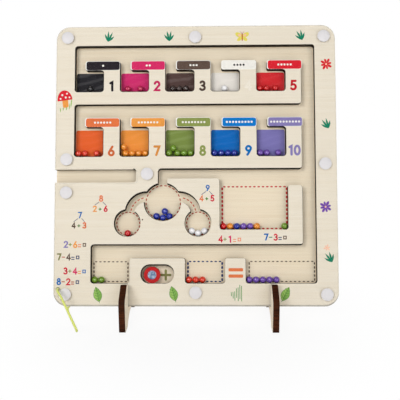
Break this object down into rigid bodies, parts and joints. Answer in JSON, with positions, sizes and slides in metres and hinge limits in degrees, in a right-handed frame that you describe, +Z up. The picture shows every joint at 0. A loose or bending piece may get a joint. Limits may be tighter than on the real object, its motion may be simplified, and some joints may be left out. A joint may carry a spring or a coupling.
{
  "type": "magnetic ball maze",
  "caption": "Leaning plywood board with a ball maze under a clear cover, two slotted feet, a sliding selector disc and a tethered magnetic pen.",
  "frame": {"origin": "on the table, under the middle of the board's width and of the depth from the toes to the board's top edge", "axes": "+X to the right along the board, +Y away from the player, +Z up from the table"},
  "size_m": [0.3, 0.1129, 0.3106],
  "materials": {
    "plywood_face": "sanded pale plywood",
    "plywood_back": "sanded pale plywood",
    "plywood_foot": "laser-cut plywood, burnt edges",
    "clear_sheet": "clear polished sheet",
    "white_plastic": "moulded gloss",
    "red_plastic": "moulded gloss",
    "steel": "turned steel",
    "pen_wood": "turned wood, lacquered",
    "lime_cord": "braided cord",
    "black_enamel": "gloss enamel on steel",
    "pink_enamel": "gloss enamel on steel",
    "brown_enamel": "gloss enamel on steel",
    "white_enamel": "gloss enamel on steel",
    "red_enamel": "gloss enamel on steel",
    "orange_enamel": "gloss enamel on steel",
    "yellow_enamel": "gloss enamel on steel",
    "green_enamel": "gloss enamel on steel",
    "blue_enamel": "gloss enamel on steel",
    "purple_enamel": "gloss enamel on steel"
  },
  "bodies": {
    "board": {"back_panel": "plywood_back", "maze_panel": "plywood_face", "clear_cover": "clear_sheet", "rivet_sockets": "white_plastic", "rivet_pins": "white_plastic", "tether_knot": "lime_cord", "tether_cord": "lime_cord", "tether_coil": "lime_cord", "tether_lead": "lime_cord", "tether_tie": "white_plastic"},
    "left_foot": {"left_foot": "plywood_foot"},
    "right_foot": {"right_foot": "plywood_foot"},
    "selector": {"selector_disc": "red_plastic", "selector_core": "steel"},
    "pen": {"pen_barrel": "pen_wood", "pen_tip": "red_plastic", "pen_magnet": "steel", "pen_tail_cap": "red_plastic"},
    "black_ball": {"black_ball": "black_enamel"},
    "pink_ball_left": {"pink_ball_left": "pink_enamel"},
    "pink_ball_right": {"pink_ball_right": "pink_enamel"},
    "brown_balls": {"brown_balls": "brown_enamel"},
    "white_ball": {"white_ball": "white_enamel"},
    "red_balls": {"red_balls": "red_enamel"},
    "red_ball": {"red_ball": "red_enamel"},
    "orange_balls": {"orange_balls": "orange_enamel"},
    "orange_ball": {"orange_ball": "orange_enamel"},
    "yellow_balls": {"yellow_balls": "yellow_enamel"},
    "green_balls": {"green_balls": "green_enamel"},
    "blue_balls": {"blue_balls": "blue_enamel"},
    "purple_balls": {"purple_balls": "purple_enamel"},
    "purple_ball": {"purple_ball": "purple_enamel"},
    "bowl_blue_balls": {"bowl_blue_balls": "blue_enamel"},
    "cup_red_ball": {"cup_red_ball": "red_enamel"},
    "cup_white_balls": {"cup_white_balls": "white_enamel"},
    "sum_green_ball": {"sum_green_ball": "green_enamel"},
    "tray_green_balls": {"tray_green_balls": "green_enamel"},
    "tray_orange_balls": {"tray_orange_balls": "orange_enamel"},
    "tray_purple_balls": {"tray_purple_balls": "purple_enamel"},
    "sum_row": {"sum_red_ball": "red_enamel", "sum_yellow_ball": "yellow_enamel", "sum_blue_ball": "blue_enamel", "sum_purple_balls": "purple_enamel", "sum_last_yellow_ball": "yellow_enamel"}
  },
  "joints": [
    {"name": "left_foot_slide", "type": "slide", "parent": "board", "child": "left_foot", "axis": [1, 0, 0], "range_m": [-0.025, 0.04]},
    {"name": "right_foot_slide", "type": "slide", "parent": "board", "child": "right_foot", "axis": [1, 0, 0], "range_m": [-0.04, 0.025]},
    {"name": "selector_slide", "type": "slide", "parent": "board", "child": "selector", "axis": [1, 0, 0], "range_m": [-0.0023, 0.0139]},
    {"name": "pen_lift", "type": "slide", "parent": "board", "child": "pen", "axis": [0, 0, 1], "range_m": [0, 0.04]},
    {"name": "black_ball_lift", "type": "slide", "parent": "board", "child": "black_ball", "axis": [0, 0.2419, 0.9703], "range_m": [0, 0.0156]},
    {"name": "pink_ball_left_lift", "type": "slide", "parent": "board", "child": "pink_ball_left", "axis": [0, 0.2419, 0.9703], "range_m": [0, 0.0156]},
    {"name": "pink_ball_right_lift", "type": "slide", "parent": "board", "child": "pink_ball_right", "axis": [0, 0.2419, 0.9703], "range_m": [0, 0.0156]},
    {"name": "brown_balls_lift", "type": "slide", "parent": "board", "child": "brown_balls", "axis": [0, 0.2419, 0.9703], "range_m": [0, 0.0156]},
    {"name": "white_ball_lift", "type": "slide", "parent": "board", "child": "white_ball", "axis": [0, 0.2419, 0.9703], "range_m": [0, 0.0156]},
    {"name": "red_balls_lift", "type": "slide", "parent": "board", "child": "red_balls", "axis": [0, 0.2419, 0.9703], "range_m": [0, 0.0156]},
    {"name": "red_ball_lift", "type": "slide", "parent": "board", "child": "red_ball", "axis": [0, 0.2419, 0.9703], "range_m": [0, 0.0156]},
    {"name": "orange_balls_lift", "type": "slide", "parent": "board", "child": "orange_balls", "axis": [0, 0.2419, 0.9703], "range_m": [0, 0.0238]},
    {"name": "orange_ball_lift", "type": "slide", "parent": "board", "child": "orange_ball", "axis": [0, 0.2419, 0.9703], "range_m": [0, 0.0238]},
    {"name": "yellow_balls_lift", "type": "slide", "parent": "board", "child": "yellow_balls", "axis": [0, 0.2419, 0.9703], "range_m": [0, 0.0238]},
    {"name": "green_balls_lift", "type": "slide", "parent": "board", "child": "green_balls", "axis": [0, 0.2419, 0.9703], "range_m": [0, 0.018]},
    {"name": "blue_balls_lift", "type": "slide", "parent": "board", "child": "blue_balls", "axis": [0, 0.2419, 0.9703], "range_m": [0, 0.0238]},
    {"name": "purple_balls_lift", "type": "slide", "parent": "board", "child": "purple_balls", "axis": [0, 0.2419, 0.9703], "range_m": [0, 0.0238]},
    {"name": "purple_ball_lift", "type": "slide", "parent": "board", "child": "purple_ball", "axis": [0, 0.2419, 0.9703], "range_m": [0, 0.0238]},
    {"name": "bowl_blue_balls_lift", "type": "slide", "parent": "board", "child": "bowl_blue_balls", "axis": [0, 0.2419, 0.9703], "range_m": [0, 0.0245]},
    {"name": "cup_red_ball_lift", "type": "slide", "parent": "board", "child": "cup_red_ball", "axis": [0, 0.2419, 0.9703], "range_m": [0, 0.02]},
    {"name": "cup_white_balls_lift", "type": "slide", "parent": "board", "child": "cup_white_balls", "axis": [0, 0.2419, 0.9703], "range_m": [0, 0.0152]},
    {"name": "sum_green_ball_lift", "type": "slide", "parent": "board", "child": "sum_green_ball", "axis": [0, 0.2419, 0.9703], "range_m": [0, 0.0568]},
    {"name": "tray_green_balls_lift", "type": "slide", "parent": "board", "child": "tray_green_balls", "axis": [0, 0.2419, 0.9703], "range_m": [0, 0.0324]},
    {"name": "tray_orange_balls_lift", "type": "slide", "parent": "board", "child": "tray_orange_balls", "axis": [0, 0.2419, 0.9703], "range_m": [0, 0.0324]},
    {"name": "tray_purple_balls_lift", "type": "slide", "parent": "board", "child": "tray_purple_balls", "axis": [0, 0.2419, 0.9703], "range_m": [0, 0.0324]},
    {"name": "sum_row_lift", "type": "slide", "parent": "board", "child": "sum_row", "axis": [0, 0.2419, 0.9703], "range_m": [0, 0.0568]}
  ]
}
